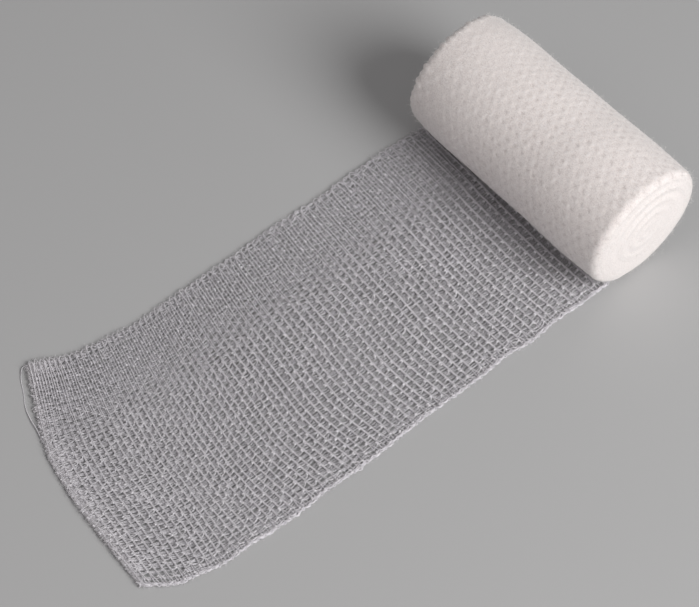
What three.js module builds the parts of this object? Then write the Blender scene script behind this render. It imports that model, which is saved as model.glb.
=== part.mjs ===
// Roll of open-weave elastic bandage with its loose end drawn out flat.
// Millimetres, +Z up. X runs along the roll, the surface that it lies on is z = 0,
// and the loose end leaves the roll's underside towards -Y.
import * as THREE from "three";

// Driving dimensions
const FAR_END = -38.2;          // roll's ends along X: a 75 mm strip, its turns a little
const NEAR_END = 38.6;          // out of line, so that they stand out at both ends
const SHEET = 1.0;              // thickness that stands for the woven sheet and its fuzz
const GIRTH_Y = 20.2;           // roll's half width, front to back
const GIRTH_Z = 19.86;          // roll's half height before its foot is flattened
const FLAT_SPOT = 3.0;          // half width of the flat spot that the roll stands on
const EDGE_ROUND = 2.4;         // the outer turns round over this far at both ends

// Wound ends
const TURN_PITCH = 3.4;         // spacing of the turns that stand proud at the ends
const TURN_RELIEF = 0.55;       // height of those turns
const END_CROWN = 0.9;          // how far the middle of an end stands out

// Unevenness of the loose end and of the outer turn
const RIPPLE = 0.28;            // height of the long soft ripples in the loose end
const OUTER_LUMP = 0.16;        // soft lumps of the outer turn

// Steps
const COLUMNS = 24;             // steps across the strip
const ROUND_STEPS = 44;         // steps around the roll
const TAIL_STEPS = 22;          // steps along the loose end
const FOOT_STEPS = 3;           // steps across the foot, under the roll
const END_RINGS = 17;           // rings on an end, rim to middle

// The roll's girth at even places from its far end (-X) to its near end (+X).
// It is slack and tapered at the far end and a little fuller towards the near end.
const GIRTH_SHARES = [0.925, 0.965, 0.981, 0.983, 0.984, 0.986, 0.991, 1.007, 1.013, 1.005, 0.996];

// The loose end, one row for each eighth of its length along the weave: the places of its
// far and near edges, and how far it reaches at five places from the far edge to the near.
const LOOSE_END = [
  { farX: -37.7, nearX: 37.2, reach: [7.0, 7.0, 7.0, 7.0, 7.0] },
  { farX: -37.6, nearX: 37.3, reach: [28.6, 29.9, 31.7, 32.8, 32.6] },
  { farX: -37.5, nearX: 37.5, reach: [50.1, 52.0, 53.7, 55.3, 55.4] },
  { farX: -37.6, nearX: 37.6, reach: [71.5, 74.4, 76.3, 78.3, 77.8] },
  { farX: -37.6, nearX: 37.7, reach: [91.6, 95.8, 98.5, 101.2, 100.0] },
  { farX: -37.2, nearX: 37.8, reach: [110.1, 115.2, 119.0, 122.2, 121.6] },
  { farX: -36.9, nearX: 38.0, reach: [126.9, 133.0, 137.7, 141.0, 142.3] },
  { farX: -39.4, nearX: 36.2, reach: [142.2, 149.7, 155.1, 158.3, 162.4] },
  { farX: -44.4, nearX: 28.6, reach: [156.0, 166.4, 172.6, 175.7, 178.0] },
];

const FLAT_SINE = Math.sqrt(1 - (FLAT_SPOT / GIRTH_Y) ** 2);
const AXIS_HEIGHT = GIRTH_Z * FLAT_SINE;

// Angles about the roll's axis, from +Y towards +Z: the outer turn starts at the foot's
// +Y side, goes over the top and comes down to the loose end's upper face.
const START_ANGLE = -Math.asin(FLAT_SINE);
const MEET_SINE = (AXIS_HEIGHT - SHEET) / GIRTH_Z;
const END_ANGLE = Math.PI + Math.asin(MEET_SINE);
const MEET_Y = -GIRTH_Y * Math.sqrt(1 - MEET_SINE ** 2);

const { clamp, lerp, smoothstep } = THREE.MathUtils;

// A smooth value through evenly spaced ones, at a share from 0 to 1 of the way along.
function between(values, share) {
  const last = values.length - 1;
  const place = clamp(share, 0, 1) * last;
  const k = Math.min(Math.floor(place), last - 1);
  const f = place - k;
  const b = values[k];
  const c = values[k + 1];
  const a = k > 0 ? values[k - 1] : 2 * b - c;
  const d = k + 2 <= last ? values[k + 2] : 2 * c - b;
  const slope = (c - a) / 2;
  const bend = a - 2.5 * b + 2 * c - d / 2;
  const twist = (d - a) / 2 + 1.5 * (b - c);
  return b + f * (slope + f * (bend + f * twist));
}

// Places across the strip, from -1 at the far edge to 1 at the near edge. They lie closer
// together near both edges, where the roll rounds over.
function acrossAt(column) {
  const even = (2 * column) / COLUMNS - 1;
  return 0.35 * even + 0.65 * Math.sin((even * Math.PI) / 2);
}

// Place along the roll for a place across the strip.
function alongRoll(across) {
  return lerp(FAR_END, NEAR_END, (across + 1) / 2);
}

// Plan place of the loose end at a share of the way along and a place across.
function looseEndPlan(share, across) {
  const side = (across + 1) / 2;
  const farX = between(LOOSE_END.map((row) => row.farX), share);
  const nearX = between(LOOSE_END.map((row) => row.nearX), share);
  const reach = between(LOOSE_END.map((row) => between(row.reach, side)), share);
  return { x: lerp(farX, nearX, side), y: -reach };
}

// Upper face of the loose end: level where it slides under the roll, then softly rippled.
function looseEndTop(share, x, y) {
  const grow = smoothstep(share, 0.02, 0.2);
  const long = Math.sin(y / 9.5 + x / 31);
  const cross = Math.sin(x / 8.2 - y / 27);
  return SHEET + grow * RIPPLE * (0.5 + 0.35 * long + 0.25 * cross);
}

// Share of the full girth at a place across the strip and an angle. The foot keeps its
// girth, because the roll's own weight presses it on the surface.
function girthAt(across, angle) {
  const x = alongRoll(across);
  const inside = Math.min(NEAR_END - x, x - FAR_END);
  const past = clamp(1 - inside / EDGE_ROUND, 0, 1);
  const rounded = (EDGE_ROUND / GIRTH_Y) * (1 - Math.sqrt(1 - past * past));
  const full = between(GIRTH_SHARES, (across + 1) / 2) - rounded;
  const lumps = (OUTER_LUMP / GIRTH_Y) * Math.sin(2.3 * angle + x / 7) * Math.sin(x / 13 + 1.1);
  const free = smoothstep(Math.sin(angle), -0.98, -0.8);
  return 1 + free * (full + lumps - 1);
}

// One closed section through strip and roll, at a place across: along the floor from the
// cut edge to the foot, around the outer turn, and back along the loose end's upper face.
function section(across) {
  const points = [];
  const rollX = alongRoll(across);
  for (let k = TAIL_STEPS; k >= 0; k--) {
    const plan = looseEndPlan(k / TAIL_STEPS, across);
    points.push(new THREE.Vector3(plan.x, plan.y, 0));
  }
  for (let k = 1; k <= FOOT_STEPS; k++) {
    const y = lerp(MEET_Y, FLAT_SPOT, k / FOOT_STEPS);
    points.push(new THREE.Vector3(rollX, y, 0));
  }
  for (let k = 1; k < ROUND_STEPS; k++) {
    const angle = lerp(START_ANGLE, END_ANGLE, k / ROUND_STEPS);
    const girth = girthAt(across, angle);
    const y = GIRTH_Y * girth * Math.cos(angle);
    const z = AXIS_HEIGHT + GIRTH_Z * girth * Math.sin(angle);
    points.push(new THREE.Vector3(rollX, y, z));
  }
  for (let k = 0; k <= TAIL_STEPS; k++) {
    const share = k / TAIL_STEPS;
    const plan = looseEndPlan(share, across);
    points.push(new THREE.Vector3(plan.x, plan.y, looseEndTop(share, plan.x, plan.y)));
  }
  return points;
}

// How far an end's face stands out beyond the rim, at a share of the way from the middle
// to the rim, a radius and an angle: a low crown with the turns as a soft spiral ridge.
// The strip winds inwards as it goes from the foot up the +Y side and over the top.
function endRelief(radiusShare, radius, angle) {
  const turn = radius / TURN_PITCH + angle / (2 * Math.PI);
  const ridge = 0.5 + 0.5 * Math.cos(2 * Math.PI * turn);
  const fade = smoothstep(1 - radiusShare, 0, 0.12) * smoothstep(radiusShare, 0.02, 0.16);
  const crown = 1 - radiusShare * radiusShare;
  return END_CROWN * crown + TURN_RELIEF * ridge * fade;
}

// The solid: sections skinned from edge to edge, and an end closed by rings at each side.
function bandageGeometry() {
  const vertices = [];
  const faces = [];
  const addVertex = (x, y, z) => vertices.push(x, y, z) / 3 - 1;
  const quad = (a, b, c, d) => faces.push(a, b, c, a, c, d);

  const sections = [];
  for (let column = 0; column <= COLUMNS; column++) {
    sections.push(section(acrossAt(column)).map((p) => addVertex(p.x, p.y, p.z)));
  }
  const loop = sections[0].length;
  for (let column = 0; column < COLUMNS; column++) {
    for (let k = 0; k < loop; k++) {
      const next = (k + 1) % loop;
      const here = sections[column];
      const there = sections[column + 1];
      quad(here[k], here[next], there[next], there[k]);
    }
  }

  // Places in a section: the floor run ends at firstUnder, where the roll's foot begins,
  // and the upper run begins at lastRound, where the outer turn meets the loose end.
  const firstUnder = TAIL_STEPS;
  const lastRound = loop - 1 - TAIL_STEPS;
  for (const side of [-1, 1]) {
    const edge = side < 0 ? sections[0] : sections[COLUMNS];
    const face = (a, b, c) => (side < 0 ? faces.push(c, b, a) : faces.push(a, b, c));
    for (let k = 0; k < TAIL_STEPS; k++) {
      const low = edge[k];
      const lowNext = edge[k + 1];
      const high = edge[loop - 1 - k];
      const highNext = edge[loop - 2 - k];
      face(low, lowNext, highNext);
      face(low, highNext, high);
    }
    let outer = edge.slice(firstUnder, lastRound + 1);
    const rim = outer.map((v) => [vertices[3 * v + 1], vertices[3 * v + 2] - AXIS_HEIGHT]);
    const endX = side < 0 ? FAR_END : NEAR_END;
    for (let ring = 1; ring < END_RINGS; ring++) {
      const radiusShare = 1 - ring / END_RINGS;
      const inner = rim.map(([y, up]) => {
        const radius = radiusShare * Math.hypot(y, up);
        const out = endRelief(radiusShare, radius, Math.atan2(up, y));
        return addVertex(endX + side * out, y * radiusShare, AXIS_HEIGHT + up * radiusShare);
      });
      for (let k = 0; k < inner.length; k++) {
        const next = (k + 1) % inner.length;
        face(outer[k], outer[next], inner[next]);
        face(outer[k], inner[next], inner[k]);
      }
      outer = inner;
    }
    const middle = addVertex(endX + side * END_CROWN, 0, AXIS_HEIGHT);
    for (let k = 0; k < outer.length; k++) {
      face(outer[k], outer[(k + 1) % outer.length], middle);
    }
  }

  const geometry = new THREE.BufferGeometry();
  geometry.setAttribute("position", new THREE.Float32BufferAttribute(vertices, 3));
  geometry.setIndex(faces);
  geometry.computeVertexNormals();
  return geometry;
}

const gauze = new THREE.MeshStandardMaterial({
  name: "gauze",
  color: new THREE.Color(0.86, 0.85, 0.83),
  roughness: 0.95,
  metalness: 0,
});

const bandage = new THREE.Mesh(bandageGeometry(), gauze);
bandage.name = "bandage";

const group = new THREE.Group();
group.name = "bandage_roll";
group.add(bandage);

export default group;
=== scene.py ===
import math

import bpy
import numpy as np
from mathutils import Matrix, Vector


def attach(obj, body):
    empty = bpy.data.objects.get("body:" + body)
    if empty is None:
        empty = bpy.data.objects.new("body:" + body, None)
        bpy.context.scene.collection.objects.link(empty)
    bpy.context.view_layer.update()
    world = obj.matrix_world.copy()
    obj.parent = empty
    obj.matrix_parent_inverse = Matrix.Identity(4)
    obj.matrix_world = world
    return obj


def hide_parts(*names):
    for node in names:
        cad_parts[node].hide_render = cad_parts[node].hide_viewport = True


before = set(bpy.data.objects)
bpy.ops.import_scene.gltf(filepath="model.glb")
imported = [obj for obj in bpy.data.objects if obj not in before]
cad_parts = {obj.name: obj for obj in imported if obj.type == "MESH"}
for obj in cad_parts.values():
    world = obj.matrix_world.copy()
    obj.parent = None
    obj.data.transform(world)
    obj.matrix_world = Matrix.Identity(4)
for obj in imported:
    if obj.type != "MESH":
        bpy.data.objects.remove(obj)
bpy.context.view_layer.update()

MM = 0.001
FLOOR_CLEARANCE = 0.02      # least height of any point over the surface

# The weave
WARPS = 50                  # threads along the strip
PICKS = 72                  # double wefts across the loose end, roll to cut edge
EDGE_SPREAD = 0.08          # how much wider the warps stand apart towards both edges
STRANDS = 3                 # soft strands of one warp
WARP_SPREAD = 0.42          # half width over which they lie side by side
WARP_CRIMP = 0.24           # how far a warp rises over and dips under the wefts
WARP_RADIUS = 0.15          # of one strand
STRAY_RADIUS = 0.080        # of a warp's loose outer fibres
WEFT_RADIUS = 0.155
WEFT_CRIMP = 0.06           # how far a weft rises over and dips under the warps
WEFT_LIFT = 0.18            # the wefts lie near the upper face
TURN_LIFT = 0.05            # and come down where they turn at the edges
TURN_SHARES = np.array([0.14, 0.5, 0.86])   # points along a turn, from pass to pass
CORD_STRANDS = 3            # threads packed along the near edge
CORD_RADIUS = 0.17
THREAD_SIDES = 3            # sides of a thread's mesh

# The loose end
SHEET_MIDDLE = 0.42         # height of the weave's middle over the surface
RIPPLE = 0.28               # height of the long soft ripples

# One row for each eighth of the loose end's length along the weave: the places of its far
# and near edges, and how far it reaches at five places from the far edge to the near.
LOOSE_END = [
    dict(far_x=-37.7, near_x=37.2, reach=(5.6, 6.6, 8.0, 9.2, 9.6)),
    dict(far_x=-37.6, near_x=37.3, reach=(28.6, 29.9, 31.7, 32.8, 32.6)),
    dict(far_x=-37.5, near_x=37.5, reach=(50.1, 52.0, 53.7, 55.3, 55.4)),
    dict(far_x=-37.6, near_x=37.6, reach=(71.5, 74.4, 76.3, 78.3, 77.8)),
    dict(far_x=-37.6, near_x=37.7, reach=(91.6, 95.8, 98.5, 101.2, 100.0)),
    dict(far_x=-37.2, near_x=37.8, reach=(110.1, 115.2, 119.0, 122.2, 121.6)),
    dict(far_x=-36.9, near_x=38.0, reach=(126.9, 133.0, 137.7, 141.0, 142.3)),
    dict(far_x=-39.4, near_x=36.2, reach=(142.2, 149.7, 155.1, 158.3, 162.4)),
    dict(far_x=-44.4, near_x=28.6, reach=(156.0, 166.4, 172.6, 175.7, 178.0)),
]
FAR_X = [row["far_x"] for row in LOOSE_END]
NEAR_X = [row["near_x"] for row in LOOSE_END]
REACH = np.array([row["reach"] for row in LOOSE_END])

# How far each edge of the loose end strays towards +X, every fourth pick from the roll
FAR_STRAY = (0.6, 0.2, -0.3, 0.0, 0.1, 0.2, -0.1, -0.15, 0.35, 0.5,
             0.3, 0.1, 0.1, -0.2, -0.8, -0.35, -0.3, -0.5, -0.3)
NEAR_STRAY = (-0.2, -0.1, -0.5, 0.3, -0.7, -0.1, -0.2, -0.45, -0.2, 0.3,
              0.3, 0.05, 0.25, 0.0, -0.55, 0.0, -0.1, 1.5, 0.1)
# The drawn-out part of the last weft, in plan, from the cut edge round to the far corner
DRAWN_THREAD = [
    (-20.2, -168.8), (-23.8, -167.8), (-27.2, -166.7), (-30.0, -166.0), (-33.2, -164.9),
    (-35.7, -163.6), (-38.8, -161.4), (-42.1, -159.4), (-44.6, -157.2), (-45.2, -155.9),
    (-44.8, -155.1), (-44.2, -155.4),
]
DRAWN_FROM = 16             # warps that it has come away from
DRAWN_STEPS = 40            # points along it
DRAWN_RADIUS = 0.17
CUT_DRAWN_IN = 1.3          # how far the cut edge has drawn back from it
FAR_CORNER = (-43, -155)    # middle of the matted fibres

# The roll
FAR_END = -38.2             # its ends along X
NEAR_END = 38.6
GIRTH_Y = 20.2              # half width, front to back
GIRTH_Z = 19.86             # half height before its foot is flattened
FLAT_SPOT = 3.0             # half width of the flat spot that it stands on
EDGE_ROUND = 2.4            # the outer turn rounds over this far at both ends
OUTER_LUMP = 0.16           # height of the outer turn's soft lumps
SHEET = 1.0                 # room for the strip where it slides out from under the roll
ROLL_PICK = 2.95            # spacing of the double wefts on the roll, where the weave is slack

# The roll's girth at even places from its far end to its near end
GIRTH_SHARES = (0.925, 0.965, 0.981, 0.983, 0.984, 0.986, 0.991, 1.007, 1.013, 1.005, 0.996)

# Angles about the roll's axis, from +Y towards +Z: the outer turn starts at the foot's
# +Y side, goes over the top and comes down to the loose end's upper face.
FLAT_SINE = math.sqrt(1 - (FLAT_SPOT / GIRTH_Y) ** 2)
AXIS_HEIGHT = GIRTH_Z * FLAT_SINE
START_ANGLE = -math.asin(FLAT_SINE)
MEET_SINE = (AXIS_HEIGHT - SHEET) / GIRTH_Z
END_ANGLE = math.pi + math.asin(MEET_SINE)

# The wound ends
TURN_PITCH = 4.0            # spacing of the groups of turns that stand proud
TURN_RELIEF = 0.32          # height of those groups
END_CROWN = 0.9             # how far the middle of an end stands out
EDGE_PITCH = 1.13           # spacing of the wound edges that show in each group
EDGE_RELIEF = 0.010         # height of those edges

# Radii of the fine fibres. They are drawn thicker than real ones so that they show, and
# those of the roll cast no shadow because of that.
ROLL_FIBRE = 0.028
END_FIBRE = 0.026
LOOSE_FIBRE = 0.030


# Number helpers

def smoothstep(value, low, high):
    x = np.clip((value - low) / (high - low), 0, 1)
    return x * x * (3 - 2 * x)


def between(values, share):
    """Catmull-Rom through evenly spaced values, which run along the last axis."""
    values = np.asarray(values, float)
    share = np.asarray(share, float)
    last = values.shape[-1] - 1
    first = 2 * values[..., :1] - values[..., 1:2]
    beyond = 2 * values[..., -1:] - values[..., -2:-1]
    padded = np.concatenate([first, values, beyond], axis=-1)
    place = share * last
    k = np.clip(np.floor(place), 0, last - 1).astype(int)
    f = place - k
    if padded.ndim == 1:
        a, b, c, d = (padded[k + n] for n in range(4))
    else:
        a, b, c, d = (np.take_along_axis(padded, (k + n)[..., None], -1)[..., 0] for n in range(4))
    slope = (c - a) / 2
    bend = a - 2.5 * b + 2 * c - d / 2
    twist = (d - a) / 2 + 1.5 * (b - c)
    return b + f * (slope + f * (bend + f * twist))


def unit(v):
    return v / np.maximum(np.linalg.norm(v, axis=-1, keepdims=True), 1e-9)


def soft_noise(shape, widths, rng):
    """Smooth noise of unit deviation; widths are its blur in samples along each axis."""
    spectrum = np.fft.fftn(rng.normal(size=shape))
    for axis, width in enumerate(widths):
        f = np.fft.fftfreq(shape[axis])
        keep = np.exp(-2 * (math.pi * f * width) ** 2)
        spectrum = spectrum * keep.reshape([-1 if n == axis else 1 for n in range(len(shape))])
    field = np.real(np.fft.ifftn(spectrum))
    return field / field.std()


# Mesh helpers

def add_piece(name, points, face_groups, material):
    """One smooth piece of the bandage from points in millimetres and arrays of faces."""
    corners = np.concatenate([group.ravel() for group in face_groups]).astype(np.int32)
    sizes = np.concatenate([np.full(len(group), group.shape[1]) for group in face_groups])
    starts = np.concatenate([[0], np.cumsum(sizes)[:-1]]).astype(np.int32)
    mesh = bpy.data.meshes.new(name)
    mesh.vertices.add(len(points))
    mesh.vertices.foreach_set("co", (points * MM).astype(np.float32).ravel())
    mesh.loops.add(len(corners))
    mesh.loops.foreach_set("vertex_index", corners)
    mesh.polygons.add(len(starts))
    mesh.polygons.foreach_set("loop_start", starts)
    mesh.update(calc_edges=True)
    mesh.shade_smooth()
    mesh.materials.append(material)
    piece = bpy.data.objects.new(name, mesh)
    bpy.context.scene.collection.objects.link(piece)
    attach(piece, "root")
    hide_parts("bandage")
    return piece


def set_tone_with_painted_light(piece, values):
    """Keep a share from 0, deep, to 1, pale, on each point for the piece's material. It holds
    painted shade where it is low and painted highlight where it is high, and on the warps
    some tone that differs at random too.
    """
    shade = piece.data.attributes.new("tone_with_painted_light", "FLOAT", "POINT")
    shade.data.foreach_set("value", np.asarray(values).astype(np.float32).ravel())


def keep_above_floor(points):
    points[:, 2] = np.maximum(points[:, 2], FLOOR_CLEARANCE)


def tubes(lines, radii, sides, flat=1.0):
    """Closed tubes along lines (count, steps, 3). Their height is flat times their width.
    Returns points and groups of faces."""
    count, steps, _ = lines.shape
    tangent = unit(np.gradient(lines, axis=1))
    side = unit(np.cross(np.broadcast_to((0, 0, 1), lines.shape), tangent))
    normal = np.cross(tangent, side)
    angle = np.arange(sides) * 2 * math.pi / sides
    wide = np.broadcast_to(radii, (count, steps))[:, :, None, None]
    high = wide * np.broadcast_to(flat, (count, steps))[:, :, None, None]
    points = (lines[:, :, None] + wide * np.cos(angle)[:, None] * side[:, :, None]
              + high * np.sin(angle)[:, None] * normal[:, :, None])
    index = np.arange(count * steps * sides).reshape(count, steps, sides)
    here = index[:, :-1]
    there = index[:, 1:]
    walls = np.stack([here, np.roll(here, -1, 2), np.roll(there, -1, 2), there], -1)
    caps = np.concatenate([index[:, 0, ::-1], index[:, -1]])
    return points.reshape(-1, 3), [walls.reshape(-1, 4), caps]


def joined(parts):
    """Points and faces of several meshes as one."""
    points = []
    groups = []
    start = 0
    for part_points, part_groups in parts:
        points.append(part_points)
        groups += [group + start for group in part_groups]
        start += len(part_points)
    return np.concatenate(points), groups


def hairs(roots, heads, lengths, radius, curl, rng):
    """Closed three-sided fibres that taper to a point, bent at random, from roots in the
    directions of heads."""
    count = len(roots)
    bend = unit(np.cross(heads, rng.normal(size=heads.shape)))
    second = np.cross(heads, bend)
    length = lengths[:, None]
    sway = curl * rng.normal(size=(count, 1))
    middle = roots + length * (0.55 * heads + 0.2 * curl * bend + 0.8 * sway * second)
    tip = roots + length * (heads + curl * bend + 0.15 * sway * second)
    angle = np.arange(3)[None, :, None] * 2 * math.pi / 3
    spoke = np.cos(angle) * bend[:, None] + np.sin(angle) * second[:, None]
    root_ring = roots[:, None] + radius * spoke
    middle_ring = middle[:, None] + 0.8 * radius * spoke
    points = np.concatenate([root_ring, middle_ring, tip[:, None]], 1)
    index = points.shape[1] * np.arange(count)[:, None]
    low = np.arange(3)
    high = np.arange(3, 6)
    end = np.full(3, 6)
    walls = np.stack([low, np.roll(low, -1), np.roll(high, -1), high], -1)
    cone = np.stack([high, np.roll(high, -1), end], -1)
    base = low[None, ::-1]
    quads = (index[..., None] + walls).reshape(-1, 4)
    triangles = (index[..., None] + np.concatenate([cone, base])).reshape(-1, 3)
    return points.reshape(-1, 3), [quads, triangles]


# The strip's shape

def warp_across(warp):
    """Place across the strip, -1 to 1, of a warp number from -0.5 to WARPS - 0.5."""
    even = (np.asarray(warp, float) + 0.5) / WARPS * 2 - 1
    return even * (1 - EDGE_SPREAD) + EDGE_SPREAD * even ** 3


def loose_end_point(pick, warp, lift=0.0):
    """A point of the loose end by pick and warp number, lift millimetres over its middle."""
    pick, warp, lift = np.broadcast_arrays(pick, warp, lift)
    share = pick / PICKS
    side = (warp_across(warp) + 1) / 2
    far = between(FAR_X, share)
    near = between(NEAR_X, share)
    reach_rows = np.stack([between(REACH[:, n], share) for n in range(REACH.shape[1])], -1)
    x = far + (near - far) * side
    near_stray = between(NEAR_STRAY, share) + 0.16 * edge_waver(pick)
    far_stray = between(FAR_STRAY, share) + 0.12 * edge_waver(pick * 1.13 + 40)
    x = x + near_stray * smoothstep(side, 0.92, 1.0) + far_stray * smoothstep(-side, -0.08, 0.0)
    y = -between(reach_rows, side)
    y = y + CUT_DRAWN_IN * smoothstep(pick, PICKS - 7, PICKS) * smoothstep(-warp, -20, -4)
    grow = smoothstep(share, 0.02, 0.2)
    ripple = 0.5 + 0.35 * np.sin(y / 9.5 + x / 31) + 0.25 * np.sin(x / 8.2 - y / 27)
    return np.stack([x, y, SHEET_MIDDLE + grow * RIPPLE * ripple + lift], -1)


def edge_waver(pick):
    """Uneven waver, about -1 to 1, of an edge along the loose end."""
    return (0.5 * np.sin(pick * 1.9 + 0.4) + 0.4 * np.sin(pick * 3.1 + 1.7)
            + 0.35 * np.sin(pick * 0.83) * np.sin(pick * 4.4 + 2.0))


def girth(x, angle):
    """Share of the roll's full girth. The foot keeps it, all but the rounding at the ends."""
    inside = np.minimum(NEAR_END - x, x - FAR_END)
    past = np.clip(1 - inside / EDGE_ROUND, 0, 1)
    rounded = EDGE_ROUND / GIRTH_Y * (1 - np.sqrt(1 - past ** 2))
    full = between(GIRTH_SHARES, (x - FAR_END) / (NEAR_END - FAR_END))
    lumps = OUTER_LUMP / GIRTH_Y * np.sin(2.3 * angle + x / 7) * np.sin(x / 13 + 1.1)
    free = smoothstep(np.sin(angle), -0.98, -0.8)
    return 1 + free * (full + lumps - 1) - rounded


def roll_point(x, angle, out):
    """A point of the roll's side, out millimetres over its wound surface."""
    x, angle, out = np.broadcast_arrays(x, angle, out)
    share = girth(x, angle)
    y = (GIRTH_Y * share + out) * np.cos(angle)
    z = AXIS_HEIGHT + (GIRTH_Z * share + out) * np.sin(angle)
    return np.stack([x, y, np.maximum(z, FLOOR_CLEARANCE)], -1)


# Materials

TONE_AND_PAINTED_LIGHT_SHARE = 0.35       # how much the painted shade and highlight of each point add to the tone of the fibres


def gauze_material(name, pale, deep, fibre_scale, bump, soften, use_painted_light=False):
    """White fibres: fine streaky colour, a soft sheen and a fibrous bump. Where asked, the
    colour also goes from deep to pale with the painted shade and painted highlight kept on
    each point of the mesh. The colours are linear, fibre_scale is the number of streaks in
    a metre, and soften is the share of light that scatters within the fibres."""
    material = bpy.data.materials.new(name)
    material.use_nodes = True
    nodes = material.node_tree.nodes
    links = material.node_tree.links
    shader = nodes["Principled BSDF"]
    shader.inputs["Roughness"].default_value = 0.92
    shader.inputs["Specular IOR Level"].default_value = 0.25
    shader.inputs["Sheen Weight"].default_value = 0.35
    shader.inputs["Sheen Roughness"].default_value = 0.5
    shader.inputs["Subsurface Weight"].default_value = soften
    shader.inputs["Subsurface Radius"].default_value = (1.0, 0.95, 0.9)
    shader.inputs["Subsurface Scale"].default_value = 0.0012
    place = nodes.new("ShaderNodeTexCoord")
    fibre = nodes.new("ShaderNodeTexNoise")
    fibre.inputs["Scale"].default_value = fibre_scale
    fibre.inputs["Detail"].default_value = 4.0
    links.new(place.outputs["Object"], fibre.inputs["Vector"])
    ramp = nodes.new("ShaderNodeValToRGB")
    deepest, palest = ramp.color_ramp.elements
    deepest.position = 0.3
    deepest.color = (*deep, 1)
    palest.position = 0.65
    palest.color = (*pale, 1)
    tone = fibre.outputs["Fac"]
    # Painted shade and highlight: each point's stored share moves the ramp towards the deep or the
    # pale colour.
    if use_painted_light:
        own = nodes.new("ShaderNodeAttribute")
        own.attribute_name = "tone_with_painted_light"
        both = nodes.new("ShaderNodeMath")
        both.operation = "MULTIPLY_ADD"
        both.inputs[1].default_value = TONE_AND_PAINTED_LIGHT_SHARE
        links.new(own.outputs["Fac"], both.inputs[0])
        links.new(tone, both.inputs[2])
        tone = both.outputs["Value"]
        deepest.position = 0.36
        palest.position = 0.8
    links.new(tone, ramp.inputs["Fac"])
    links.new(ramp.outputs["Color"], shader.inputs["Base Color"])
    relief = nodes.new("ShaderNodeBump")
    relief.inputs["Strength"].default_value = bump
    relief.inputs["Distance"].default_value = 0.0001
    links.new(fibre.outputs["Fac"], relief.inputs["Height"])
    links.new(relief.outputs["Normal"], shader.inputs["Normal"])
    return material


def floor_material():
    material = bpy.data.materials.new("pale_floor")
    material.use_nodes = True
    shader = material.node_tree.nodes["Principled BSDF"]
    shader.inputs["Base Color"].default_value = (0.44, 0.445, 0.45, 1)
    shader.inputs["Roughness"].default_value = 0.55
    return material


# The loose end's threads

def weft_thread(material):
    """One thread to and fro across the loose end: two passes a pick, turned at both edges.
    Its last pass has come out of the cut edge over the warps beside the far corner."""
    rng = np.random.default_rng(11)
    warp = np.concatenate([[-0.25], np.arange(0.0, WARPS - 0.9, 0.5), [WARPS - 0.75]])
    line = []
    for pick in range(-1, PICKS + 1):
        gap = weft_gap(warp)
        drift = pick_drift(warp, rng)
        if pick == PICKS:
            gap = np.full_like(warp, 0.12)
            drift = 0.8 * drift - 0.10
        lower = pick - gap / 2 + drift
        upper = pick + gap / 2 + drift
        lift = weft_lift(pick, warp)
        line.append(loose_end_point(lower, warp, lift))
        line.append(near_turn(lower[-1], upper[-1]))
        back = loose_end_point(upper, warp, lift)[::-1]
        if pick < PICKS:
            line.append(back)
            line.append(far_turn(upper[0], upper[0] + 1 - gap[0], pick, rng))
        else:
            line.append(back[:-2 * DRAWN_FROM])
            line.append(drawn_out())
    line = np.concatenate(line)[None]
    thread = tubes(line, weft_radii(line, rng), THREAD_SIDES)
    points, faces = joined([thread, near_edge_cord(rng)])
    keep_above_floor(points)
    return add_piece("loose_end_wefts", points, faces, material)


def weft_lift(pick, warp):
    """Height of a pass over the weave's middle: it goes over and under the warps, and lies
    higher where they spread to a sheet and beside the cut edge."""
    crimp = WEFT_LIFT - WEFT_CRIMP * np.cos(math.pi * (warp + pick))
    return crimp + 0.09 * plump_share(warp_across(warp)) + 0.05 * soft_share(pick)


def near_turn(lower, upper):
    """Points where the weft turns at the near edge, from its lower pass to its upper."""
    warp = WARPS - 1 + np.array([0.46, 0.64, 0.46])
    return loose_end_point(lower + (upper - lower) * TURN_SHARES, warp, TURN_LIFT)


def far_turn(upper, following, pick, rng):
    """Points of the uneven loop at the far edge, from one pick's upper pass to the pass that
    follows. The loops are wider near the cut edge."""
    reach = 1 + rng.uniform(-0.35, 0.25) + 0.5 * smoothstep(pick, PICKS - 9, PICKS - 1)
    warp = -np.array([0.45, 0.75, 0.45]) * reach
    return loose_end_point(upper + (following - upper) * TURN_SHARES, warp, TURN_LIFT)


def weft_radii(line, rng):
    """Uneven thickness of the weft: thinner over the far part and beside the cut edge,
    swollen among the matted fibres of the far corner, and even where it is drawn out."""
    x = line[..., 0]
    y = line[..., 1]
    radii = WEFT_RADIUS * (1 + 0.12 * soft_noise(x.shape, (0, 6), rng))
    radii = radii * (0.90 + 0.10 * smoothstep(x, -22, 12))
    radii = radii * (1 - 0.12 * smoothstep(-y, 90, 145))
    from_corner = np.hypot(x - FAR_CORNER[0], y - FAR_CORNER[1])
    radii = radii * (1 + 0.8 * np.exp(-(from_corner / 8) ** 2))
    radii[:, -DRAWN_STEPS:] = DRAWN_RADIUS
    return radii


def drawn_out():
    """The part of the last pass that has come away from the cut edge, to the far corner."""
    places = np.array(DRAWN_THREAD)
    share = np.linspace(0, 1, DRAWN_STEPS)
    x = between(places[:, 0], share)
    y = between(places[:, 1], share)
    return np.stack([x, y, 0.25 + 0.2 * np.sin(share * 9)], -1)


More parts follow.
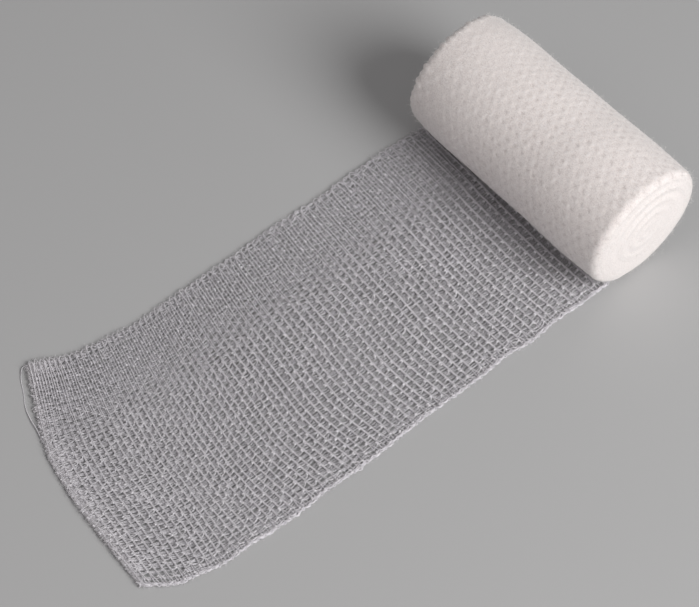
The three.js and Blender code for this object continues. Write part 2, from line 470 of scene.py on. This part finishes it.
def near_edge_cord(rng):
    """Threads packed along the near edge by the turning weft, with a knot at each turn."""
    steps = 5 * PICKS
    pick = np.linspace(-1, PICKS + 0.1, steps)
    knot = np.abs(np.sin(math.pi * (pick + 0.1))) ** 0.8
    lines = []
    radii = []
    for strand in range(CORD_STRANDS):
        phase = strand * 2 * math.pi / CORD_STRANDS
        turn = pick * 2.1 + phase + 0.4 * soft_noise((steps,), (6,), rng)
        line = loose_end_point(pick, WARPS - 0.72, WEFT_LIFT + 0.12 * np.sin(turn))
        stray = soft_noise((steps,), (2,), rng)
        line[:, 0] += 0.26 * np.cos(turn) + 0.14 * stray + 0.6 * knot - 0.4
        lines.append(line)
        uneven = (1 + 0.3 * soft_noise((steps,), (1.5,), rng)).clip(0.4, 1.8)
        radii.append(CORD_RADIUS * (0.55 + 0.7 * knot) * uneven)
    return tubes(np.array(lines), np.array(radii), 4)


def weft_gap(warp):
    """How far apart, in picks, the two passes of a pick lie: even towards the far edge, side
    by side over the rest, parted again where they turn at the near edge, and closed up
    where wide loops turn them at the far edge."""
    across = warp_across(warp)
    near = 0.36 * smoothstep(across, 0.89, 0.975)
    far = 0.36 * smoothstep(-across, 0.88, 0.97)
    return 0.12 + 0.38 * apart_share(across) + near - far


def apart_share(across):
    """1 beside the far edge, where single passes lie evenly apart, to 0 where they pair up."""
    return 1 - smoothstep(across, -0.85, -0.25)


def plump_share(across):
    """1 over the far half, where the warps spread to a soft even sheet, to 0 over the near
    half, where they part into cells."""
    return 1 - smoothstep(across, -0.55, 0.35)


def soft_share(pick):
    """0 over most of the loose end to 1 near its cut edge, where the weave is softer."""
    return smoothstep(pick, 34, 60)


def pick_drift(warp, rng):
    """Small waver of a pick, in picks."""
    across = warp_across(warp)
    phase = rng.uniform(0, 2 * math.pi, 4)
    size = rng.normal(size=4) * np.array([0.05, 0.035, 0.02, 0.012])
    waves = [size[n] * np.sin((2.3 + 3.9 * n * n) * across + phase[n]) for n in range(4)]
    return sum(waves)


# A warp over two picks, from its bead over a weft to the next: place in picks, lift as a
# share of the crimp, thickness, flatness and spread of the strands, and pale, the share of
# pale colour, low where painted shade greys the spread strands between the beads
WARP_STEPS = [
    dict(pick=-0.19, lift=0.20, thick=1.15, flat=0.70, spread=1.10, pale=0.0),
    dict(pick=-0.08, lift=1.10, thick=1.35, flat=0.90, spread=0.85, pale=0.9),
    dict(pick=0.08, lift=1.10, thick=1.35, flat=0.90, spread=0.85, pale=0.9),
    dict(pick=0.19, lift=0.20, thick=1.15, flat=0.70, spread=1.10, pale=0.0),
    dict(pick=0.78, lift=-0.75, thick=1.80, flat=0.40, spread=1.50, pale=0.05),
    dict(pick=1.22, lift=-0.75, thick=1.80, flat=0.40, spread=1.50, pale=0.05),
]
RUN_IN = 0.8                # picks of each warp under the roll


def warps(material):
    """The crimped warps. Over a pair of passes their strands close up to a pale bead; between
    the picks they spread flat and all but meet those of the next warp. There they carry
    painted shade: a grey that stands for the shaded floor seen through the thin fibres."""
    rng = np.random.default_rng(12)
    repeats = PICKS // 2 + 1
    step = {key: np.tile([row[key] for row in WARP_STEPS], repeats) for key in WARP_STEPS[0]}
    place = step["pick"] + np.repeat(2 * np.arange(repeats) - RUN_IN, len(WARP_STEPS))
    lines = []
    radii = []
    flats = []
    tone_with_painted_light = []
    for warp in range(WARPS):
        cut = PICKS + rng.uniform(0.12, 0.42)
        pick = np.minimum(place + (RUN_IN + warp) % 2 - RUN_IN, cut)
        soft = soft_share(pick)
        plump = 1 - (1 - plump_share(warp_across(warp))) * (1 - 0.6 * soft)
        strands = warp_strands(warp, pick, step, soft, plump, rng)
        # Painted shade: the spread strands between the beads are grey, less so near the cut edge,
        # and the beads are a little grey too where the warps are plump.
        pale = (1 - 0.35 * plump) * step["pale"] + 0.12 * soft * (1 - step["pale"])
        pale = pale + warp_bloom(warp, pick)
        for line, thick, uneven in strands:
            lines.append(line)
            radii.append(thick)
            flats.append(step["flat"] * (1 - 0.2 * plump))
            tone_with_painted_light.append(pale + 0.15 * uneven)
    points, faces = tubes(np.array(lines), np.array(radii), THREAD_SIDES, np.array(flats))
    keep_above_floor(points)
    piece = add_piece("loose_end_warps", points, faces, material)
    set_tone_with_painted_light(piece, np.repeat(np.array(tone_with_painted_light), THREAD_SIDES))
    return piece


def warp_strands(warp, pick, step, soft, plump, rng):
    """The line, radii and unevenness of shade of each strand of a warp, which twist about
    each other. Beside the cut edge (soft) their beads are fuller and closer."""
    count = len(pick)
    over_weft = step["lift"] > 0.5
    under_weft = step["lift"] < 0
    swell = np.clip(1 + 0.15 * soft_noise((count,), (6,), rng), 0.6, 1.5)
    turn = pick * rng.uniform(0.5, 0.9) + rng.uniform(0, 2 * math.pi)
    thick = step["thick"] * (1 + 0.12 * rng.normal(size=count).clip(-2, 2))
    thick = thick * (1 + np.where(over_weft, 0.16 + 0.18 * soft, 0.12 * plump + 0.25 * soft))
    width = WARP_SPREAD * swell * step["spread"] * (1 - (0.15 + 0.10 * soft) * over_weft)
    crimp = WARP_CRIMP * (1 - 0.35 * apart_share(warp_across(warp))) * step["lift"]
    crimp = crimp * (1 - 0.25 * soft * under_weft)
    strands = []
    for strand in range(STRANDS):
        angle = turn + strand * 2 * math.pi / STRANDS
        stray = soft_noise((count,), (0.6,), rng)
        place = 0.75 * (strand - (STRANDS - 1) / 2) + 0.2 * np.cos(angle)
        place = place + (0.36 - 0.14 * soft) * stray
        lift = crimp + (1 - 0.5 * plump) * (0.08 * np.sin(angle) + 0.03 * stray[::-1])
        line = loose_end_point(pick, warp, lift)
        line[:, 0] += width * place * (1 + 0.2 * plump)
        uneven = 1 + 0.16 * soft_noise((count,), (1.2,), rng)
        strands.append((line, WARP_RADIUS * thick * uneven, soft_noise((count,), (0.6,), rng)))
    return strands


def warp_bloom(warp, pick):
    """How much paler a warp is towards the cut edge, the far corner and the near edge, where
    it carries less painted shade.
    """
    bloom = 0.9 * smoothstep(pick, PICKS - 3.5, PICKS - 0.5)
    bloom = bloom + 1.0 * math.exp(-(warp / 3) ** 2) * smoothstep(pick, PICKS - 8, PICKS - 2)
    return bloom + 0.5 * smoothstep(warp, WARPS - 4, WARPS - 1)


def warp_strays(material):
    """Loose outer fibres of the warps, which bridge the gaps between them. Their grey is
    painted shade.
    """
    rng = np.random.default_rng(14)
    steps = int(4.5 * (PICKS + 1)) + 1
    lines = []
    radii = []
    for warp in range(WARPS - 1):
        pick = np.linspace(-1, PICKS + rng.uniform(0.15, 0.5), steps)
        wave = np.cos(math.pi * (pick + warp))
        stray = soft_noise((steps,), (1.0,), rng)
        slow = soft_noise((steps,), (6,), rng)
        line = loose_end_point(pick, warp + 0.5, 0.08 * wave + 0.03 * stray[::-1])
        line[:, 0] += 0.55 * stray + 0.15 * slow
        lines.append(line)
        radii.append(STRAY_RADIUS * (1 + 0.2 * soft_noise((steps,), (1.8,), rng)))
    points, faces = tubes(np.array(lines), np.array(radii), THREAD_SIDES)
    keep_above_floor(points)
    return add_piece("loose_end_warp_strays", points, faces, material)


# The roll's side

ROLL_ROWS = 400             # steps of the outer turn round the roll
ROLL_COLUMNS = 226          # and along it
FOOT_ROWS = 5
FOOT_PALENESS = 0.65
LIP_DEPTH = 0.9             # how far inwards the outer turn's rims fold at both ends
LIP_INSET = 0.3             # and how far back along the roll
LIP_DENT = 0.3              # their depth of painted shade

# Random values for each crossing of the slack weave are kept in tables by pick and warp
CROSSINGS = (400, 120)
PICK_ROW = 200              # row of pick 0
WARP_COLUMN = 30            # column of warp 0
HUMP_HEIGHT = 0.08
DENT_DEPTH = 0.10
SLIT_DEPTH = 0.12
WEAVE_SUNK = 0.06           # how far the weave's face lies under the wound surface
LOOP_REACH = 0.75           # how far the turned wefts draw out the far edge


def outer_turn(material):
    """The slack, fluffy weave of the outer turn, and the foot that closes it underneath."""
    rng = np.random.default_rng(13)
    share = np.linspace(0, 1, ROLL_COLUMNS)
    x = FAR_END + (NEAR_END - FAR_END) * share
    warp_fine = np.linspace(-0.5, WARPS - 0.5, 2001)
    warp = np.interp(share * 2 - 1, warp_across(warp_fine), warp_fine)[None]
    angle = np.linspace(START_ANGLE, END_ANGLE, ROLL_ROWS)[:, None]
    pick = angle * (GIRTH_Y + GIRTH_Z) / 2 / ROLL_PICK
    relief, dent = slack_weave(pick, warp, rng)
    points = roll_point(x[None], angle, relief)
    points[..., 0] += edge_loops(pick, warp, rng)
    far_lip = roll_point(FAR_END, angle, -LIP_DEPTH) + np.array([LIP_INSET, 0, 0])
    near_lip = roll_point(NEAR_END, angle, -LIP_DEPTH) - np.array([LIP_INSET, 0, 0])
    points = np.concatenate([far_lip, points, near_lip], axis=1)
    dent = np.pad(dent, ((0, 0), (1, 1)), constant_values=LIP_DENT)
    mix = np.linspace(0, 1, FOOT_ROWS + 2)[1:-1, None, None]
    foot = points[-1:] * (1 - mix) + points[:1] * mix
    grid = np.concatenate([points, foot])
    rows, columns = grid.shape[:2]
    index = np.arange(rows * columns).reshape(rows, columns)
    after = np.roll(index, -1, 0)
    quads = np.stack([index[:, :-1], index[:, 1:], after[:, 1:], after[:, :-1]], -1)
    piece = add_piece("outer_turn", grid.reshape(-1, 3), [quads.reshape(-1, 4)], material)
    # The outer turn's colour carries painted shade in its dents and slits and painted highlight on
    # its humps.
    set_tone_with_painted_light(piece, np.concatenate([1 - dent, np.full((FOOT_ROWS, columns), FOOT_PALENESS)]))
    return piece


def slack_weave(pick, warp, rng):
    """Height of the slack weave, and its depth of painted shade: a soft felted face with a
    small dent wherever a pick crosses over a warp, short humps of uneven height where warps
    cross over picks, and open slits beside the near edge. The shade is painted darker in the
    dents and slits, and a highlight paler on the humps."""
    pick, warp = np.broadcast_arrays(pick, warp)
    shape = pick.shape
    pick = pick + 0.05 * soft_noise(shape, (16, 18), rng)
    warp = warp + 0.10 * soft_noise(shape, (24, 9), rng)
    near_pick = np.round(pick)
    near_warp = np.round(warp)
    off_pick = pick - near_pick
    off_warp = warp - near_warp
    row = near_pick.astype(int) + PICK_ROW
    column = near_warp.astype(int) + WARP_COLUMN
    under = (near_pick + near_warp) % 2

    depth = rng.uniform(0.35, 1.0, CROSSINGS)[row, column]
    slant = rng.normal(0, 0.12, CROSSINGS)[row, column]
    slanted = off_pick + slant * off_warp
    dent = under * depth * np.exp(-(slanted / 0.17) ** 2 - (off_warp / 0.42) ** 2)
    dent = dent * (0.45 + 0.55 * smoothstep(warp, 8, 20))

    proud = rng.uniform(0.0, 1.0, CROSSINGS)[row, column]
    hump = (1 - under) * proud * np.exp(-(off_pick / 0.26) ** 2 - (off_warp / 0.24) ** 2)

    from_edge = WARPS - 2.6 - warp
    gap = rng.uniform(-0.6, 1.0, CROSSINGS[0])[row].clip(0)
    slit = gap * np.exp(-(from_edge / 0.9) ** 2 - ((np.abs(off_pick) - 0.45) / 0.07) ** 2)

    fluff = 0.010 * soft_noise(shape, (3.0, 1.6), rng) + 0.009 * soft_noise(shape, (1.7, 0.6), rng)
    relief = HUMP_HEIGHT * hump - DENT_DEPTH * dent - SLIT_DEPTH * slit + fluff - WEAVE_SUNK
    # Painted shade in the dents and slits, painted highlight on the humps
    return relief, np.clip(0.42 + 0.7 * dent + slit - 0.75 * hump, 0, 1)


def edge_loops(pick, warp, rng):
    """How far the turned wefts draw the outer turn's far edge out along the roll."""
    size = rng.uniform(0.25, 1.0, CROSSINGS[0])[np.round(pick).astype(int) + PICK_ROW]
    loop = size * np.abs(np.cos(math.pi * pick)) ** 1.6
    return -LOOP_REACH * smoothstep(-warp, -2.2, 0.3) * loop


# The wound ends

def end_out(radius, rim, angle):
    """How far an end stands out beyond its rim at a radius, an angle and the rim's radius."""
    share = np.clip(radius / rim, 0, 1)
    turn = radius / TURN_PITCH + angle / (2 * math.pi)
    ridge = 0.5 + 0.5 * np.cos(2 * math.pi * turn)
    ridge = ridge * (0.55 + 0.45 * np.sin(angle + radius / 5 - 2.75))
    fade = smoothstep(1 - share, 0, 0.12) * smoothstep(share, 0.02, 0.16)
    return END_CROWN * (1 - share ** 2) + TURN_RELIEF * ridge * fade


def rim_radius(end_x, angle):
    """Distance from the roll's axis to the rim of an end."""
    point = roll_point(np.full_like(angle, end_x), angle, 0.0)
    return np.hypot(point[..., 1], point[..., 2] - AXIS_HEIGHT)


def wound_end(name, end_x, side, rings, columns, material, seed):
    """One end: soft uneven ridges of the wound edges on broad spiral turns."""
    rng = np.random.default_rng(seed)
    angles = np.linspace(0, 2 * math.pi, columns, endpoint=False)
    rim = rim_radius(end_x, angles)
    shares = np.concatenate([[1.02, 1.01], np.linspace(1, 0.02, rings)])[:, None]
    radius = shares * rim
    out = end_out(radius, rim, angles[None])

    def noise(across, around):
        """Widths are in rings and in two-hundredths of the way round."""
        return soft_noise(out.shape, (across, around * columns / 200), rng)

    wander = 0.16 * noise(8, 3.0)
    turn = (radius + wander) / EDGE_PITCH + angles / (2 * math.pi)
    edges = 0.5 + 0.5 * np.cos(2 * math.pi * turn)
    size = np.clip(0.6 + 0.5 * noise(4, 9.0), 0, 1.6)
    swell = 0.04 * noise(9, 14.0)
    fluff = 0.003 * soft_noise(out.shape, (1.4, 1.2), rng)
    inside = smoothstep(shares, 0.02, 0.10) * smoothstep(-shares, -1.0, -0.96)
    out = out + inside * (EDGE_RELIEF * size * edges ** 0.7 + swell + fluff)
    out = out - 0.35 * smoothstep(shares, 1.0, 1.02)
    face = np.stack([end_x + side * out, radius * np.cos(angles),
                     AXIS_HEIGHT + radius * np.sin(angles)], -1)
    index = np.arange(face.shape[0] * columns).reshape(face.shape[0], -1)
    after = np.roll(index, -1, 1)
    quads = np.stack([index[:-1], after[:-1], after[1:], index[1:]], -1).reshape(-1, 4)
    middle = index[-1][None]
    if side < 0:
        quads = quads[:, ::-1]
        middle = middle[:, ::-1]
    piece = add_piece(name, face.reshape(-1, 3), [quads, middle], material)
    # Painted shade: the end is darker in the grooves between the wound edges.
    set_tone_with_painted_light(piece, 0.72 - 0.12 * inside * size.clip(0, 1) * (1 - edges) ** 2)
    return piece


# Fuzz

def roll_fuzz(material):
    """Fine fibres that stand off the roll, most of them lying nearly flat."""
    rng = np.random.default_rng(21)
    even = 5200         # fibres all over the side
    rims = 1800         # and more of them near both rims
    count = even + rims
    past = rng.uniform(0.1, 2.6, rims)
    x = np.concatenate([rng.uniform(FAR_END + 0.3, NEAR_END - 0.3, even),
                        np.where(rng.uniform(size=rims) < 0.5, FAR_END + past, NEAR_END - past)])
    angle = rng.uniform(START_ANGLE + 0.15, END_ANGLE - 0.12, count)
    roots = roll_point(x, angle, -0.10)
    outward = np.stack([np.zeros(count), np.cos(angle), np.sin(angle)], -1)
    forward = np.stack([np.zeros(count), -np.sin(angle), np.cos(angle)], -1)
    axis = np.array([1.0, 0, 0])
    bearing = rng.uniform(0, 2 * math.pi, count)[:, None]
    rise = np.abs(rng.normal(0, 0.55, count))[:, None]
    lying = np.cos(bearing) * forward + np.sin(bearing) * axis
    heads = unit(lying + rise * outward)
    lengths = np.clip(rng.lognormal(0.0, 0.45, count), 0.35, 2.6)
    points, faces = hairs(roots, heads, lengths, ROLL_FIBRE, 0.5, rng)
    keep_above_floor(points)
    piece = add_piece("roll_fuzz", points, faces, material)
    piece.visible_shadow = False
    return piece


def end_fuzz(name, end_x, side, count, material, seed):
    """Fine fibres of one wound end: most of them round its rim, a few on its face."""
    rng = np.random.default_rng(seed)
    angle = rng.uniform(0, 2 * math.pi, count)
    rim = rim_radius(end_x, angle)
    on_rim = rng.uniform(size=count) < 0.7
    share = np.where(on_rim, rng.uniform(0.84, 1.0, count), np.sqrt(rng.uniform(0, 0.8, count)))
    radius = rim * share
    out = end_out(radius, rim, angle) - 0.04
    roots = np.stack([end_x + side * out, radius * np.cos(angle),
                      AXIS_HEIGHT + radius * np.sin(angle)], -1)
    outward = np.stack([np.zeros(count), np.cos(angle), np.sin(angle)], -1)
    heads = rng.normal(size=(count, 3)) + 0.9 * on_rim[:, None] * outward
    heads[:, 0] = side * np.abs(heads[:, 0]) * np.where(on_rim, 0.6, 0.25)
    lengths = np.clip(rng.lognormal(-0.1, 0.45, count), 0.35, 2.2)
    points, faces = hairs(roots, unit(heads), lengths, END_FIBRE, 0.5, rng)
    keep_above_floor(points)
    piece = add_piece(name, points, faces, material)
    piece.visible_shadow = False
    return piece


def loose_end_fuzz(name, pick, warp, bearing, lengths, material, rng):
    """Fine fibres of the loose end, from places in its weave in plan bearings."""
    count = len(pick)
    roots = loose_end_point(pick, warp, rng.uniform(-0.15, 0.22, count))
    rise = rng.normal(0, 0.14, count)
    heads = unit(np.stack([np.cos(bearing), np.sin(bearing), rise], -1))
    points, faces = hairs(roots, heads, lengths, LOOSE_FIBRE, 0.45, rng)
    keep_above_floor(points)
    return add_piece(name, points, faces, material)


def inner_fuzz(material):
    """The fibres among the threads, grey with painted shade."""
    rng = np.random.default_rng(24)
    count = 14500
    pick = rng.uniform(-0.5, PICKS, count)
    warp = rng.uniform(-0.6, WARPS - 0.4, count)
    bearing = rng.uniform(0, 2 * math.pi, count)
    lengths = np.clip(rng.lognormal(0.1, 0.4, count), 0.5, 2.4)
    return loose_end_fuzz("loose_end_fuzz", pick, warp, bearing, lengths, material, rng)


def edge_fuzz(material):
    """The frayed fibres along the cut edge, those matted at the far corner, and those that
    stand off both selvedges."""
    rng = np.random.default_rng(25)
    frayed = 5200
    matted = 1200
    lining = 1700
    pick = np.concatenate([PICKS + 0.15 - np.abs(rng.normal(0, 0.60, frayed)),
                           PICKS + 0.2 - np.abs(rng.normal(0, 2.6, matted)),
                           rng.uniform(0, PICKS, lining)])
    warp = np.concatenate([rng.uniform(-0.5, WARPS - 0.5, frayed),
                           np.abs(rng.normal(0, 1.9, matted)) - 0.5,
                           np.where(rng.uniform(size=lining) < 0.6, -0.5, WARPS - 0.6)])
    bearing = np.concatenate([rng.normal(-math.pi / 2, 0.75, frayed),
                              rng.uniform(0, 2 * math.pi, matted + lining)])
    lengths = np.clip(rng.lognormal(-0.1, 0.4, len(pick)), 0.4, 2.0)
    return loose_end_fuzz("loose_end_edge_fuzz", pick, warp, bearing, lengths, material, rng)


# Lights

def area_light(name, place, aim, size, power, color):
    """A round soft light; place, aim and size are in metres and power is in watts."""
    data = bpy.data.lights.new(name, "AREA")
    data.shape = "DISK"
    data.size = size
    data.energy = power
    data.color = color
    light = bpy.data.objects.new(name, data)
    bpy.context.scene.collection.objects.link(light)
    light.location = place
    light.rotation_euler = (Vector(aim) - Vector(place)).to_track_quat("-Z", "Y").to_euler()
    return light


# Scene

cotton = gauze_material("cotton_weft", pale=(0.81, 0.786, 0.83), deep=(0.67, 0.646, 0.69),
                        fibre_scale=2600, bump=0.35, soften=0.4)
# The warps' deep colour is painted shade.
crepe = gauze_material("crepe_warp", pale=(0.89, 0.865, 0.91), deep=(0.44, 0.425, 0.455),
                       fibre_scale=3200, bump=0.3, soften=0.4, use_painted_light=True)
# Painted shade: these white fibres are coloured grey, for the shaded floor seen through them.
painted_shade_fibres = gauze_material("crepe_fibres_painted_shade", pale=(0.53, 0.512, 0.545), deep=(0.44, 0.425, 0.455),
                      fibre_scale=3200, bump=0.2, soften=0.4)
# The deep colour of the wound gauze serves both as tone that differs at random and as painted
# shade.
wool = gauze_material("wound_gauze", pale=(0.885, 0.835, 0.82), deep=(0.60, 0.545, 0.53),
                      fibre_scale=3000, bump=0.16, soften=0.25, use_painted_light=True)
down = gauze_material("fine_fibres", pale=(0.86, 0.85, 0.84), deep=(0.76, 0.75, 0.74),
                      fibre_scale=900, bump=0.0, soften=0.0)
lint = gauze_material("edge_fibres", pale=(0.88, 0.86, 0.89), deep=(0.78, 0.76, 0.79),
                      fibre_scale=900, bump=0.0, soften=0.0)

wefts = weft_thread(cotton)
warp_threads = warps(crepe)
strays = warp_strays(painted_shade_fibres)
outer_turn(wool)
wound_end("wound_end_near", NEAR_END, 1, rings=96, columns=220, material=wool, seed=31)
wound_end("wound_end_far", FAR_END, -1, rings=80, columns=180, material=wool, seed=32)
roll_fuzz(down)
end_fuzz("end_fuzz_near", NEAR_END, 1, count=1000, material=down, seed=33)
end_fuzz("end_fuzz_far", FAR_END, -1, count=800, material=down, seed=34)
inner = inner_fuzz(painted_shade_fibres)
edges = edge_fuzz(lint)

bpy.ops.mesh.primitive_plane_add(size=6.0, location=(0, 0, 0))
floor = bpy.context.object
floor.name = "floor"
floor.data.materials.append(floor_material())

middle = (0.0, -0.07, 0.0)
area_light("key", (0.92, 0.10, 0.73), middle, size=0.85, power=13.6, color=(1.0, 0.985, 0.97))
area_light("fill", (-0.2, -0.9, 0.9), middle, size=1.0, power=1.6, color=(1.0, 0.93, 0.91))

world = bpy.data.worlds.new("studio")
bpy.context.scene.world = world
world.use_nodes = True
background = world.node_tree.nodes["Background"]
background.inputs["Color"].default_value = (0.98, 0.96, 0.96, 1)
background.inputs["Strength"].default_value = 0.26
bpy.context.scene.view_settings.view_transform = "Standard"


# Camera, at the photo's angle; its distance and target are in metres
ELEVATION = math.radians(52.775)
AZIMUTH = math.radians(38.653)
CAMERA_ROLL = math.radians(9.901)
DISTANCE = 1.1
TARGET = Vector((-0.00457, -0.071034, 0.0))
PICTURE_WIDTH = 699             # pixels
FOCAL_PIXELS = 3935.53          # focal length in the picture's pixels
SENSOR = 36.0                   # width of the sensor

back = Vector((math.sin(AZIMUTH) * math.cos(ELEVATION),
               -math.cos(AZIMUTH) * math.cos(ELEVATION), math.sin(ELEVATION)))
level = (-back).cross(Vector((0, 0, 1))).normalized()
upright = level.cross(-back)
right = math.cos(CAMERA_ROLL) * level + math.sin(CAMERA_ROLL) * upright
up = -math.sin(CAMERA_ROLL) * level + math.cos(CAMERA_ROLL) * upright
camera_data = bpy.data.cameras.new("camera")
camera_data.sensor_fit = "HORIZONTAL"
camera_data.sensor_width = SENSOR
camera_data.lens = SENSOR * (FOCAL_PIXELS / PICTURE_WIDTH)
camera_data.clip_end = 20.0
camera = bpy.data.objects.new("camera", camera_data)
bpy.context.scene.collection.objects.link(camera)
turned = Matrix((right, up, back)).transposed().to_4x4()
camera.matrix_world = Matrix.Translation(TARGET + back * DISTANCE) @ turned
bpy.context.scene.camera = camera
